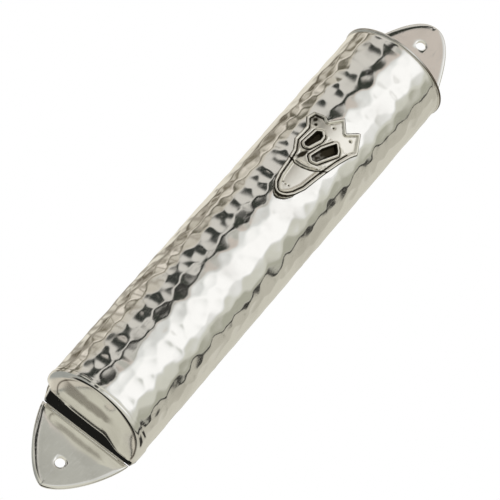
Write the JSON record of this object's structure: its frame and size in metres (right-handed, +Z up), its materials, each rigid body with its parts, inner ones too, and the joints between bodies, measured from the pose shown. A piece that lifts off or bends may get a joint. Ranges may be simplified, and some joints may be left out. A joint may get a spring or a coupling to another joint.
{
  "type": "mezuzah case",
  "caption": "Half-round hammered silver case with a raised letter, screw ears at both ends and a pull-down back that carries a rolled parchment.",
  "frame": {"origin": "on the wall plane, midway between the two screw holes", "axes": "+Z up the case towards the fixed ear, -Y out of the wall through the rounded front, X across the case"},
  "size_m": [0.0276, 0.0205, 0.1514],
  "materials": {
    "hammered_silver": "hammered and polished",
    "polished_silver": "mirror polished, fine scratches",
    "emblem_silver": "polished high points, oxidised recesses",
    "plain_silver": "satin sheet",
    "parchment": "matt skin",
    "band_paper": "matt paper"
  },
  "bodies": {
    "case": {"cover": "hammered_silver", "left_guide": "plain_silver", "right_guide": "plain_silver", "top_plate": "polished_silver", "top_ear": "polished_silver", "emblem": "emblem_silver"},
    "drawer": {"back_plate": "plain_silver", "end_cap": "polished_silver", "locating_strip": "plain_silver", "bottom_ear": "polished_silver", "scroll": "parchment", "scroll_band": "band_paper"}
  },
  "joints": [
    {"name": "back_slide", "type": "slide", "parent": "case", "child": "drawer", "axis": [0, 0, -1], "range_m": [0, 0.112]}
  ]
}
